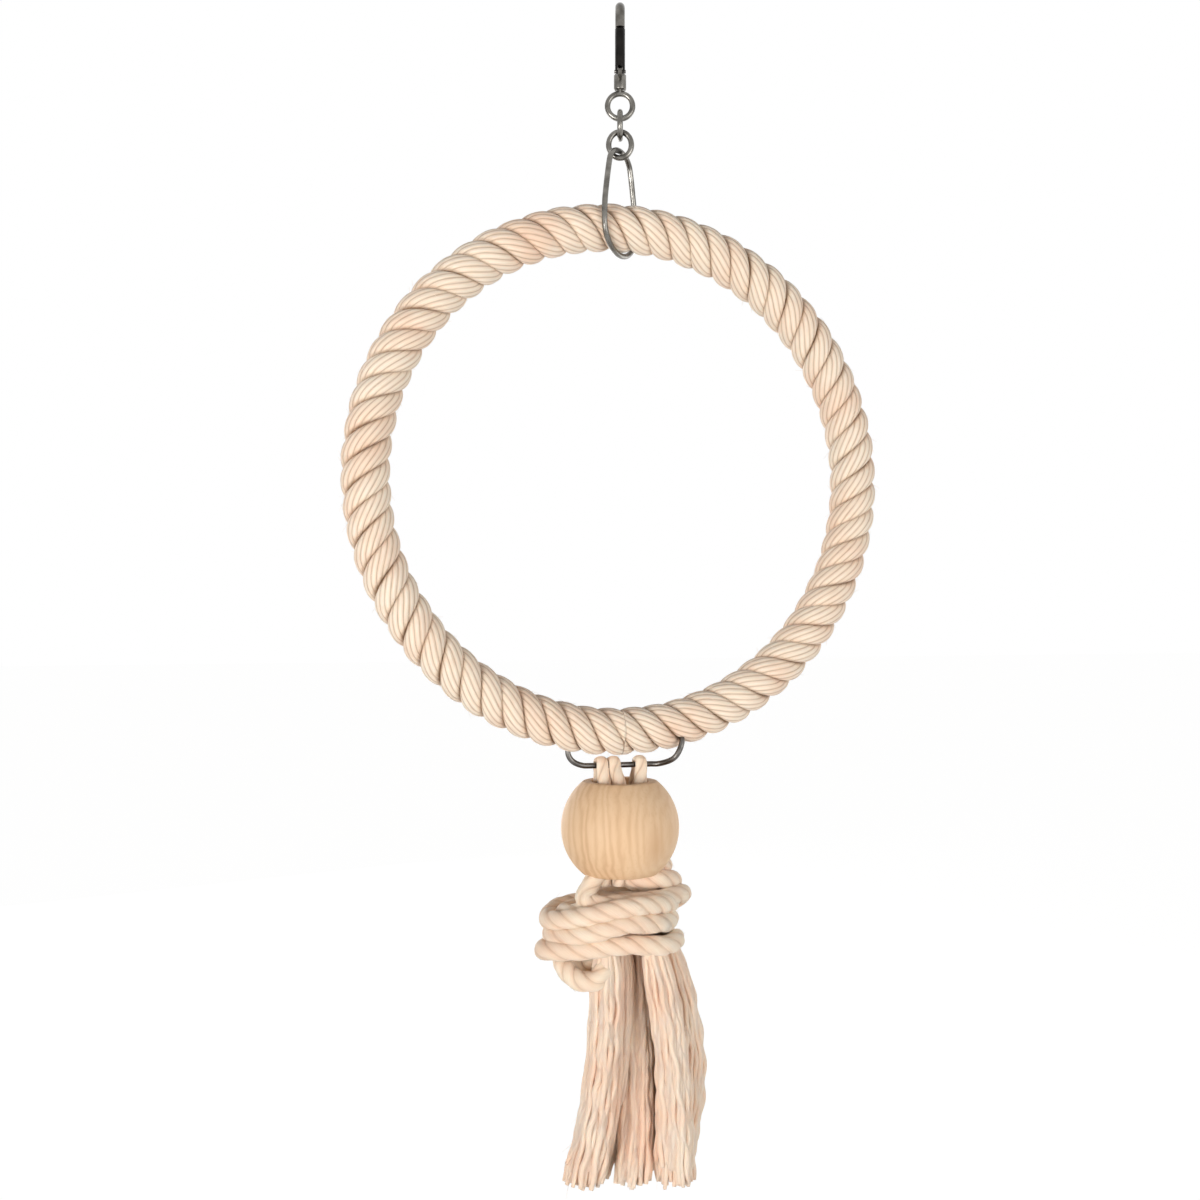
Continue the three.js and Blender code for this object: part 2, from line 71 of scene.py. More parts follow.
class Slot(Enum):
    """Material slots of the record."""

    NICKEL = "nickel"
    STEEL = "steel"
    COTTON = "cotton"
    BEECH = "beech"


class Body(Enum):
    """Bodies of the frame."""

    SNAP = "snap"
    GATE = "gate"
    EYE = "eye"
    UPPER_LINK = "upper_link"
    LOWER_LINK = "lower_link"
    BAIL = "bail"
    RING = "ring"
    TASSEL = "tassel"
    BEAD = "bead"


def linear(code: str) -> tuple[float, float, float, float]:
    """Turns an sRGB hex colour with its hash sign to linear red, green, blue and alpha."""
    parts = [int(code[i : i + 2], 16) / 255 for i in (1, 3, 5)]
    light = [p / 12.92 if p <= 0.04045 else ((p + 0.055) / 1.055) ** 2.4 for p in parts]
    return (*light, 1.0)


def add(tree: Tree, kind: str, settings: Values = None, inputs: Values = None) -> bpy.types.Node:
    """Adds a node with its settings and, by input name or number, its values or links."""
    made = tree.nodes.new(kind)
    for key, value in (settings or {}).items():
        setattr(made, key, value)
    for key, value in (inputs or {}).items():
        if isinstance(value, Socket):
            tree.links.new(value, made.inputs[key])
        else:
            made.inputs[key].default_value = value
    return made


def noise(tree: Tree, vector: Socket, scale: float, detail: float, roughness: float = 0.5) -> Socket:
    """Gives the grey value of a noise texture."""
    inputs = {"Vector": vector, "Scale": scale, "Detail": detail, "Roughness": roughness}
    return add(tree, "ShaderNodeTexNoise", inputs=inputs).outputs["Fac"]


def mapping(tree: Tree, vector: Socket, scale: Point, turn: Point = (0, 0, 0)) -> Socket:
    """Turns and stretches a vector."""
    inputs = {"Vector": vector, "Rotation": turn, "Scale": scale}
    return add(tree, "ShaderNodeMapping", inputs=inputs).outputs["Vector"]


def maths(tree: Tree, operation: str, *values: Socket | float) -> Socket:
    """Gives the value of a sum, product or other operation."""
    return add(tree, "ShaderNodeMath", {"operation": operation}, dict(enumerate(values))).outputs["Value"]


def rescale(tree: Tree, value: Socket, source: Span, target: Span) -> Socket:
    """Maps a value from its source range to a target range and holds it at both ends."""
    inputs = {"Value": value, "From Min": source[0], "From Max": source[1]}
    inputs.update({"To Min": target[0], "To Max": target[1]})
    return add(tree, "ShaderNodeMapRange", inputs=inputs).outputs["Result"]


def ramp(tree: Tree, factor: Socket, *stops: tuple[float, str]) -> Socket:
    """Colours a factor along its stops."""
    made = add(tree, "ShaderNodeValToRGB", inputs={"Fac": factor})
    band = made.color_ramp
    while len(band.elements) < len(stops):
        band.elements.new(0.5)
    for element, (place, code) in zip(band.elements, stops):
        element.position = place
        element.color = linear(code)
    return made.outputs["Color"]


def mix(tree: Tree, share: Socket, colour: Socket, other: str, blend: str = "MIX") -> Socket:
    """Mixes a share of another colour into a colour."""
    settings = {"data_type": "RGBA", "blend_type": blend}
    inputs = {"Factor": share, "A": colour, "B": linear(other)}
    return add(tree, "ShaderNodeMix", settings, inputs).outputs["Result"]


def bump(tree: Tree, height: Socket, strength: float, depth_mm: float) -> Socket:
    """Gives the normal of a surface raised by a grey value."""
    inputs = {"Height": height, "Strength": strength, "Distance": depth_mm * MM}
    return add(tree, "ShaderNodeBump", inputs=inputs).outputs["Normal"]


def mix_shader(tree: Tree, share: Socket, first: Socket, second: Socket) -> Socket:
    """Mixes a share of the second shader into the first."""
    return add(tree, "ShaderNodeMixShader", inputs={0: share, 1: first, 2: second}).outputs["Shader"]


def new_material(name: str) -> tuple[Material, Tree]:
    """Makes an empty node material."""
    material = bpy.data.materials.new(name)
    material.use_nodes = True
    tree = material.node_tree
    tree.nodes.clear()
    return material, tree


@dataclass(frozen=True)
class Coat:
    """A material and the slot that it fills."""

    material: Material
    slot: Slot

    def surface(self, inputs: Values) -> Coat:
        """Ends the material with one surface of these inputs."""
        tree = self.material.node_tree
        made = add(tree, "ShaderNodeBsdfPrincipled", inputs=inputs)
        add(tree, "ShaderNodeOutputMaterial", inputs={"Surface": made.outputs["BSDF"]})
        return self

    def dress(self, piece: Piece, body: Body, *nodes: str) -> None:
        """Gives a piece this coat and its body, and hides the nodes that it stands for."""
        piece.data.materials.clear()
        piece.data.materials.append(self.material)
        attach(piece, body.value)
        if nodes:
            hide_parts(*nodes)
        LOG.info("made %s", piece.name)


@dataclass(frozen=True)
class CottonFinish:
    """Undyed cotton yarn, carded and laid: soft, without gloss, with painted shade where yarns meet and where
    a strand runs under its neighbour.
    """

    name: str
    crown: str
    middle: str
    shade_and_tone: str
    blush: str
    fibre_mm: float = 0.5
    fibre_stretch: float = 0.09
    bump: float = 0.5
    bump_mm: float = 0.35
    streak: float = 0.5
    blush_scale: float = 38.0
    blush_most: float = 0.5

    def make(self) -> Coat:
        """Builds the material on the yarn map and the attribute of painted shade of a cotton piece."""
        material, tree = new_material(self.name)
        yarn = add(tree, "ShaderNodeUVMap", {"uv_map": "yarn"}).outputs["UV"]
        # fibres run along the yarn, a few times longer than wide
        along = mapping(tree, yarn, (1 / self.fibre_mm, self.fibre_stretch / self.fibre_mm, 1))
        fibre = noise(tree, along, 1.0, 4.0, 0.62)
        tone = noise(tree, add(tree, "ShaderNodeTexCoord").outputs["Object"], self.blush_scale, 3.0)
        # painted shade: the attribute is high in grooves and under neighbouring strands, with a random tone
        # per frayed yarn
        shade_and_tone = add(tree, "ShaderNodeAttribute", {"attribute_name": "shade_and_tone"}).outputs["Fac"]
        depth = maths(tree, "MULTIPLY_ADD", fibre, self.streak, shade_and_tone)
        # the ramp's last colour is the painted shade colour
        shade = ramp(tree, depth, (0.16, self.crown), (0.42, self.middle), (1.0, self.shade_and_tone))
        patch = rescale(tree, tone, (0.42, 0.68), (0.0, self.blush_most))
        inputs = {
            "Base Color": mix(tree, patch, shade, self.blush, "MULTIPLY"),
            "Roughness": 0.92,
            "Specular IOR Level": 0.22,
            "Sheen Weight": 0.25,
            "Sheen Roughness": 0.5,
            "Subsurface Weight": 0.3,
            "Subsurface Radius": (1.0, 0.8, 0.65),
            "Subsurface Scale": 1.5 * MM,
            "Normal": bump(tree, fibre, self.bump, self.bump_mm),
        }
        return Coat(material, Slot.COTTON).surface(inputs)


@dataclass(frozen=True)
class MetalFinish:
    """Plated or drawn steel: grey, with polish that varies from handling."""

    name: str
    slot: Slot
    bright: str
    dull: str
    smooth: float
    rough: float
    patch_mm: float = 5.0
    grit_mm: float = 0.5
    grit_share: float = 0.35

    def make(self) -> Coat:
        """Builds the material on object coordinates."""
        material, tree = new_material(self.name)
        place = add(tree, "ShaderNodeTexCoord").outputs["Object"]
        # soft patches from handling, and a fine grit in the plating
        cloud = noise(tree, place, 1 / (self.patch_mm * MM), 3.0)
        grit = noise(tree, place, 1 / (self.grit_mm * MM), 2.0)
        worn = maths(tree, "MULTIPLY_ADD", grit, self.grit_share, cloud)
        inputs = {
            "Base Color": ramp(tree, cloud, (0.34, self.dull), (0.66, self.bright)),
            "Metallic": 1.0,
            "Roughness": rescale(tree, worn, (0.45, 0.9), (self.rough, self.smooth)),
            "Normal": bump(tree, grit, 0.06, 0.05),
        }
        return Coat(material, self.slot).surface(inputs)


@dataclass(frozen=True)
class BeechFinish:
    """Turned, untreated beech: pale grain along the bore, short dark flecks, dull surface."""

    name: str
    pale: str
    middle: str
    dark: str
    ring_mm: float = 3.2
    ring_share: float = 0.26
    grain_tilt: Point = (0.12, 0.2, 0.5)
    grain_stretch: float = 0.16
    fleck_mm: float = 0.7
    fleck_stretch: float = 0.13
    fleck_most: float = 0.3
    streak_mm: Point = (9.0, -22.0, -350.0)
    streak_size_mm: Point = (6.0, 9.0, 11.0)
    streak_most: float = 0.7

    def rings(self, tree: Tree, laid: Socket) -> Socket:
        """Gives the grey value of the growth rings."""
        inputs = {"Vector": laid, "Scale": 0.314 / (self.ring_mm * MM), "Distortion": 7.0}
        inputs.update({"Detail": 3.0, "Detail Scale": 1.4})
        return add(tree, "ShaderNodeTexWave", {"bands_direction": "X"}, inputs).outputs["Fac"]

    def streak(self, tree: Tree, place: Socket) -> Socket:
        """Gives the share of one soft darker patch near the bead's front right."""
        inputs = {"Vector": place}
        inputs["Location"] = tuple(v * MM for v in self.streak_mm)
        inputs["Scale"] = tuple(v * MM for v in self.streak_size_mm)
        spot = add(tree, "ShaderNodeMapping", {"vector_type": "TEXTURE"}, inputs).outputs["Vector"]
        ball = add(tree, "ShaderNodeTexGradient", {"gradient_type": "SPHERICAL"}, {"Vector": spot})
        return maths(tree, "MULTIPLY", ball.outputs["Fac"], self.streak_most)

    def make(self) -> Coat:
        """Builds the material on object coordinates."""
        material, tree = new_material(self.name)
        place = add(tree, "ShaderNodeTexCoord").outputs["Object"]
        # growth rings stand along the bore and bend a little
        laid = mapping(tree, place, (1, 1, self.grain_stretch), self.grain_tilt)
        bend = noise(tree, laid, 60.0, 3.0)
        mixed = maths(tree, "MULTIPLY_ADD", self.rings(tree, laid), self.ring_share, bend)
        grain = ramp(tree, mixed, (0.3, self.pale), (0.68, self.middle), (1.0, self.dark))
        fine = 1 / (self.fleck_mm * MM)
        fleck = noise(tree, mapping(tree, place, (fine, fine, self.fleck_stretch * fine)), 1.0, 2.0)
        fleck_share = rescale(tree, fleck, (0.54, 0.76), (0.0, self.fleck_most))
        flecked = mix(tree, fleck_share, grain, self.dark)
        inputs = {
            "Base Color": mix(tree, self.streak(tree, place), flecked, self.dark),
            "Roughness": 0.58,
            "Specular IOR Level": 0.35,
            "Normal": bump(tree, fleck, 0.2, 0.12),
        }
        return Coat(material, Slot.BEECH).surface(inputs)


# colours: crown, middle, painted shade in grooves and under neighbours, random blush
ROPE_COTTON = CottonFinish("laid_cotton_rope", "#f9eddc", "#f0dbc5", "#a48567", "#f7ded2")
CORD_COTTON = CottonFinish("twisted_cotton_cord", "#f9ebd7", "#efd8bf", "#a27f60", "#f6dbd0")
FRAYED_COTTON = CottonFinish(
    "frayed_cotton_yarn", "#fee9d4", "#fadec7", "#d9b591", "#fbe0d4", fibre_mm=0.35, bump=0.9, streak=0.45
)
NICKEL_PLATE = MetalFinish("dull_nickel_plate", Slot.NICKEL, "#8a8781", "#5f5c57", 0.18, 0.34)
# painted shade: a darker copy of the nickel plate for the gate
PAINTED_SHADE_NICKEL = MetalFinish("painted_shade_gate_nickel", Slot.NICKEL, "#2e2c2a", "#1f1e1d", 0.24, 0.4)
DRAWN_STEEL = MetalFinish("drawn_steel_wire", Slot.STEEL, "#6b6763", "#4c4946", 0.26, 0.44)
TURNED_BEECH = BeechFinish("turned_beech", "#e9c9a5", "#e2be97", "#cfa57d")


def select_only(*pieces: Piece) -> None:
    """Leaves only these pieces selected, the first one active."""
    bpy.ops.object.select_all(action="DESELECT")
    for piece in pieces:
        piece.select_set(True)
    bpy.context.view_layer.objects.active = pieces[0]


def apply_modifier(piece: Piece, kind: str, **settings: object) -> None:
    """Adds a modifier with its settings and applies it to the piece."""
    modifier = piece.modifiers.new(kind.lower(), kind)
    for key, value in settings.items():
        setattr(modifier, key, value)
    select_only(piece)
    bpy.ops.object.modifier_apply(modifier=modifier.name)


def combine(piece: Piece, other: Piece, operation: str) -> None:
    """Unites a piece with another closed one, or cuts that one out of it, and removes the other."""
    apply_modifier(piece, "BOOLEAN", operation=operation, solver="EXACT", object=other)
    bpy.data.objects.remove(other, do_unlink=True)


def bevel(piece: Piece, width_mm: float, segments: int = 3, **settings: object) -> None:
    """Rounds the sharp edges of a piece."""
    apply_modifier(piece, "BEVEL", width=width_mm * MM, segments=segments, limit_method="ANGLE", **settings)


def settle(piece: Piece, smooth_deg: float) -> Piece:
    """Puts a piece's place into its mesh, turns its faces outwards and smooths its round sides."""
    select_only(piece)
    bpy.ops.object.transform_apply()
    bpy.ops.object.mode_set(mode="EDIT")
    bpy.ops.mesh.select_all(action="SELECT")
    bpy.ops.mesh.remove_doubles(threshold=1e-6)
    bpy.ops.mesh.normals_make_consistent(inside=False)
    bpy.ops.object.mode_set(mode="OBJECT")
    bpy.ops.object.shade_smooth_by_angle(angle=math.radians(smooth_deg))
    return piece


def join(name: str, first: Piece, *others: Piece) -> Piece:
    """Unites closed pieces into the first one and gives it a name."""
    for other in others:
        combine(first, other, "UNION")
    first.name = name
    return first


def link_new(name: str, data: bpy.types.Mesh | bpy.types.Curve) -> Piece:
    """Makes a piece of a mesh or curve and puts it into the scene."""
    piece = bpy.data.objects.new(name, data)
    bpy.context.scene.collection.objects.link(piece)
    return piece


def cylinder(radius: float, depth: float, place: Point, sides: int, turn: Point = (0, 0, 0)) -> Piece:
    """Adds a cylinder, with its sizes and place in millimetres."""
    place = [v * MM for v in place]
    bpy.ops.mesh.primitive_cylinder_add(
        vertices=sides, radius=radius * MM, depth=depth * MM, location=place, rotation=turn
    )
    piece = bpy.context.object
    bpy.ops.object.transform_apply()
    return piece


def unit(rows: np.ndarray, least: float = 0.0) -> np.ndarray:
    """Scales vectors to length one, with a least value that keeps a zero vector whole."""
    return rows / (np.linalg.norm(rows, axis=-1, keepdims=True) + least)


def oval(side: Point, z: float, half_width: float, half_height: float, count: int) -> np.ndarray:
    """Gives the points of an upright oval, in the plane of a sideways direction."""
    turn = TAU * np.arange(count) / count
    line = np.outer(half_width * np.sin(turn), side)
    line[:, 2] += z + half_height * np.cos(turn)
    return line


def catmull(points: np.ndarray, closed: bool, steps: int) -> np.ndarray:
    """Runs a smooth line through points, open or closed, with these steps between two of them."""
    pts = np.asarray(points, float)
    count = len(pts)
    if closed:
        padded = np.vstack([pts[-1], pts, pts[0], pts[1]])
        spans = count
    else:
        padded = np.vstack([2 * pts[0] - pts[1], pts, 2 * pts[-1] - pts[-2]])
        spans = count - 1
    line = []
    for i in range(spans):
        p0, p1, p2, p3 = padded[i : i + 4]
        k0, k1, k2 = (np.linalg.norm(b - a) ** 0.5 + 1e-9 for a, b in ((p0, p1), (p1, p2), (p2, p3)))
        m1 = (p2 - p1) + k1 * ((p1 - p0) / k0 - (p2 - p0) / (k0 + k1))
        m2 = (p2 - p1) + k1 * ((p3 - p2) / k2 - (p3 - p1) / (k1 + k2))
        for t in np.arange(steps) / steps:
            a, b = 2 * t**3 - 3 * t**2, t**3 - 2 * t**2
            line.append((a + 1) * p1 + (b + t) * m1 - a * p2 + (b + t**2) * m2)
    if not closed:
        line.append(pts[-1])
    return np.array(line)


def wire(name: str, line: np.ndarray, radius: float, closed: bool) -> Piece:
    """Makes a smooth round wire along a line, in millimetres, as an endless loop where it is closed."""
    curve = bpy.data.curves.new(name, "CURVE")
    curve.dimensions = "3D"
    curve.bevel_depth = radius * MM
    curve.bevel_resolution = 6
    curve.use_fill_caps = True
    spline = curve.splines.new("POLY")
    spline.points.add(len(line) - 1)
    spline.points.foreach_set("co", np.c_[line * MM, np.ones(len(line))].ravel())
    spline.use_cyclic_u = closed
    select_only(link_new(name, curve))
    bpy.ops.object.convert(target="MESH")
    return settle(bpy.context.view_layer.objects.active, 50)


@dataclass(frozen=True)
class YarnLay:
    """Grid and yarns of a cotton tube.

    Attributes:
        sides: sides round it.
        yarns: yarns that show round it.
        turn_mm: length in which a yarn goes once round, with its hand as sign.
        ridge: how far the yarns stand out, as a share of the radius.
        power: 2 for an oval section, more for a squarer one.
        floor: least value of the attribute of painted shade and tone.
        bury: height, as a share of the half height, under which the tube is painted in shade, where it runs
            under its neighbour.
        groove: how dark the painted shade in the grooves between its yarns is.
    """

    sides: int
    yarns: int
    turn_mm: float
    ridge: float
    power: float = 2.0
    floor: float = 0.0
    bury: float = -2.0
    groove: float = 0.5


LOOSE_FIBRE = YarnLay(sides=3, yarns=0, turn_mm=50, ridge=0.0)


class Tubes:
    """Collects cotton tubes with yarn ridges and makes one mesh of them."""

    def __init__(self) -> None:
        """Starts with no tube."""
        self.places: list[np.ndarray] = []
        self.shades_and_tones: list[np.ndarray] = []
        self.faces: list[list[int]] = []
        self.maps: list[np.ndarray] = []
        self.roots: list[np.ndarray] = []
        self.aways: list[np.ndarray] = []
        self.alongs: list[np.ndarray] = []
        self.count = 0

    def trim(self, ring: np.ndarray, rows: int, cut_x: float) -> None:
        """Cuts the last rows at both ends of a tube off flush, each surface line where it meets its plane."""
        for part, sign in ((ring[:rows], -1.0), (ring[::-1][:rows], 1.0)):
            for k in range(part.shape[1]):
                depth = sign * part[:, k, 0] - cut_x
                last = int(np.where(depth < 0)[0].max(initial=-1))
                if 0 <= last < rows - 1:
                    share = depth[last] / (depth[last] - depth[last + 1])
                    meet = part[last, k] + share * (part[last + 1, k] - part[last, k])
                    part[: last + 1, k] = meet

    def fuzz(self, rng: Chance, count: int, length_mm: float, below: float = 9.0) -> None:
        """Lets loose fibres stand off the tubes made so far, all below a height in metres."""
        roots, aways = np.vstack(self.roots), np.vstack(self.aways)
        alongs = np.vstack(self.alongs)
        open_rows = np.where(roots[:, 2] < below)[0]
        step = np.linspace(0, 1, 5)[:, None]
        thin = np.linspace(0.075, 0.03, 5) * MM
        for pick in rng.choice(open_rows, count, replace=False):
            away, along = aways[pick], alongs[pick] * rng.choice((-1.0, 1.0))
            side = np.cross(away, along)
            long = length_mm * rng.uniform(0.4, 1.0) * MM
            rise = rng.uniform(0.12, 0.4) * long
            lean = rng.uniform(-0.6, 0.6)
            curl = rng.uniform(-0.25, 0.25) * long
            way = along * math.cos(lean) + side * math.sin(lean)
            line = roots[pick] + way * long * step + away * rise * step**0.8 + side * curl * step**2
            self.add(line, np.tile(away + 0.01 * side, (5, 1)), thin, thin, LOOSE_FIBRE)

    def cap(self, row: np.ndarray, rim: int, first: bool, split: bool) -> None:
        """Closes an end of a tube with a fan, split off from its rim where the edge is sharp."""
        sides, hub = len(row), self.count
        corners = np.vstack([row.mean(0), row]) if split else row.mean(0)[None]
        rim = hub + 1 if split else rim
        self.places.append(corners)
        self.shades_and_tones.append(np.full(len(corners), CUT_HOLLOW))
        self.count += len(corners)
        for k in range(sides):
            pair = [rim + k, rim + (k + 1) % sides]
            self.faces.append([hub, *(pair[::-1] if first else pair)])
        fan = np.zeros((sides * 3, 2))
        fan[:, 0] = np.tile([0, 1, 2], sides)
        self.maps.append(fan)

    def add(
        self,
        line: np.ndarray,
        out: np.ndarray,
        half_width: np.ndarray,
        half_height: np.ndarray,
        lay: YarnLay,
        cut_x: float | None = None,
    ) -> None:
        """Adds one tube.

        Args:
            line: points of its middle, in metres.
            out: direction of its height at each point.
            half_width: half its width at each point, in metres.
            half_height: half its height at each point, in metres.
            lay: its grid and yarns.
            cut_x: distance from the middle plane at which both ends are cut off flush.
        """
        n, sides, power = len(line), lay.sides, lay.power
        along = unit(np.gradient(line, axis=0))
        side = unit(np.cross(along, out), 1e-12)
        up = np.cross(side, along)
        run = np.r_[0, np.cumsum(np.linalg.norm(np.diff(line, axis=0), axis=1))] / MM
        # the grid turns with the yarns, so that every ridge runs along one row of corners
        around = TAU * np.arange(sides + 1)[None] / sides
        theta = around - TAU * run[:, None] / lay.turn_mm
        wide, high = half_width[:, None], half_height[:, None]
        c, s = np.cos(theta), np.sin(theta)
        base = (np.abs(c) ** power + np.abs(s) ** power) ** (-1 / power)
        lobe = np.abs(np.cos(0.5 * lay.yarns * around))
        shape = base * (1 - lay.ridge * (1 - lobe**0.7))
        ring = (
            line[:, None]
            + (shape * c * wide)[..., None] * side[:, None]
            + (shape * s * high)[..., None] * up[:, None]
        )
        if cut_x is not None:
            self.trim(ring, n // 20, cut_x)
        skin = ring[:, :sides]
        self.roots.append(skin.reshape(-1, 3))
        self.aways.append(unit(skin - line[:, None], 1e-12).reshape(-1, 3))
        self.alongs.append(np.repeat(along, sides, 0))
        # painted shade: darker below the bury height, where a strand runs under its neighbour, and in the
        # grooves between yarns
        deep = np.clip((lay.bury - base * s) / 0.7, 0, 1)
        shade_and_tone = np.clip(np.maximum((1 - lobe**0.55) * lay.groove, deep), lay.floor, 1)
        uv = np.stack([around * wide / MM, np.repeat(run[:, None], sides + 1, 1)], -1)
        first = self.count
        self.places.append(skin.reshape(-1, 3))
        self.shades_and_tones.append(shade_and_tone[:, :sides].ravel())
        i, k = np.meshgrid(np.arange(n - 1), np.arange(sides), indexing="ij")
        near = first + i * sides + k
        near_next = first + i * sides + (k + 1) % sides
        quads = np.stack([near, near_next, near_next + sides, near + sides], -1)
        self.faces.extend(quads.reshape(-1, 4).tolist())
        corners = np.stack([uv[:-1, :-1], uv[:-1, 1:], uv[1:, 1:], uv[1:, :-1]], 2)
        self.maps.append(corners.reshape(-1, 2))
        self.count += n * sides
        split = cut_x is not None
        self.cap(skin[0], first, True, split)
        self.cap(skin[-1], first + (n - 1) * sides, False, split)

    def make(self, name: str) -> Piece:
        """Makes the mesh object of all tubes, with its yarn map and its attribute of painted shade."""
        mesh = bpy.data.meshes.new(name)
        mesh.from_pydata(np.vstack(self.places), [], self.faces)
        mesh.uv_layers.new(name="yarn").data.foreach_set("uv", np.vstack(self.maps).ravel())
        shade_and_tone = mesh.attributes.new("shade_and_tone", "FLOAT", "POINT")
        shade_and_tone.data.foreach_set("value", np.concatenate(self.shades_and_tones))
        mesh.shade_smooth()
        return link_new(name, mesh)


@dataclass
class Studio:
    """Camera, lamps, floor and backdrop."""

    azimuth_deg: float = -15.0
    distance: float = 0.6
    height: float = -0.2483
    lens: float = 42.5
    shift: float = -0.0167
    aim: Point = (0, 0, -0.25)
    floor_z: float = -0.62
    floor_size: float = 16.0
    floor_glow: float = 1.08
    glow_share: float = 0.9
    sky_from_below: float = 0.64
    sky_from_above: float = 0.18

    def camera(self) -> None:
        """Puts the camera at the photograph's viewing angle."""
        turn = math.radians(self.azimuth_deg)
        place = Vector((math.sin(turn) * self.distance, -math.cos(turn) * self.distance, self.height))
        bpy.ops.object.camera_add(location=place, rotation=(math.pi / 2, 0, turn))
        camera = bpy.context.object
        camera.data.lens = self.lens
        camera.data.shift_x = self.shift
        camera.data.clip_start = 0.01
        bpy.context.scene.camera = camera

    def lamp(self, name: str, place: Point, size: float, power: float) -> None:
        """Adds a soft square lamp that faces the ring."""
        bpy.ops.object.light_add(type="AREA", location=place)
        lamp = bpy.context.object
        lamp.name = name
        lamp.data.size = size
        lamp.data.energy = power
        way = Vector(self.aim) - Vector(place)
        lamp.rotation_euler = way.to_track_quat("-Z", "Y").to_euler()

    def seen(self, tree: Tree) -> Socket:
        """Gives 1 for rays from the camera and from gloss or glass, else 0."""
        path = add(tree, "ShaderNodeLightPath").outputs
        gloss = maths(tree, "MAXIMUM", path["Is Glossy Ray"], path["Is Transmission Ray"])
        return maths(tree, "MAXIMUM", path["Is Camera Ray"], gloss)

    def backdrop(self) -> None:
        """Makes the world, white where it is seen and soft where it lights the toy."""
        world = bpy.data.worlds.new("studio")
        bpy.context.scene.world = world
        world.use_nodes = True
        tree = world.node_tree
        tree.nodes.clear()
        place = add(tree, "ShaderNodeTexCoord").outputs["Generated"]
        rise = add(tree, "ShaderNodeSeparateXYZ", inputs={"Vector": place}).outputs["Z"]
        level = rescale(tree, rise, (-1.0, 1.0), (self.sky_from_below, self.sky_from_above))
        soft = add(tree, "ShaderNodeBackground", inputs={"Color": linear("#f4f1ee"), "Strength": level})
        white = add(tree, "ShaderNodeBackground", inputs={"Color": WHITE, "Strength": 1.0})
        both = mix_shader(tree, self.seen(tree), soft.outputs["Background"], white.outputs["Background"])
        add(tree, "ShaderNodeOutputWorld", inputs={"Surface": both})

    def floor(self) -> None:
        """Lays the pale floor, which glows to white where it is seen."""
        bpy.ops.mesh.primitive_plane_add(size=self.floor_size, location=(0, 0, self.floor_z))
        floor = bpy.context.object
        floor.name = "floor"
        material, tree = new_material("pale_paper_floor")
        share = maths(tree, "MULTIPLY", self.seen(tree), self.glow_share)
        paper = add(tree, "ShaderNodeBsdfDiffuse", inputs={"Color": linear("#f2f0ec")})
        glow = add(tree, "ShaderNodeEmission", inputs={"Color": WHITE, "Strength": self.floor_glow})
        both = mix_shader(tree, share, paper.outputs["BSDF"], glow.outputs["Emission"])
        add(tree, "ShaderNodeOutputMaterial", inputs={"Surface": both})
        floor.data.materials.append(material)

    def build(self) -> None:
        """Sets up the whole studio."""
        self.camera()
        self.lamp("key_low_left", (-0.95, -0.85, -0.6), 0.7, 20)
        self.lamp("fill_front", (0.6, -1.2, -0.4), 1.0, 10.5)
        self.lamp("rim_right", (0.95, 0.45, -0.4), 0.8, 3)
        self.lamp("fill_back", (-0.4, 1.3, -0.35), 1.0, 9)
        self.backdrop()
        self.floor()
        bpy.context.scene.view_settings.view_transform = "Standard"


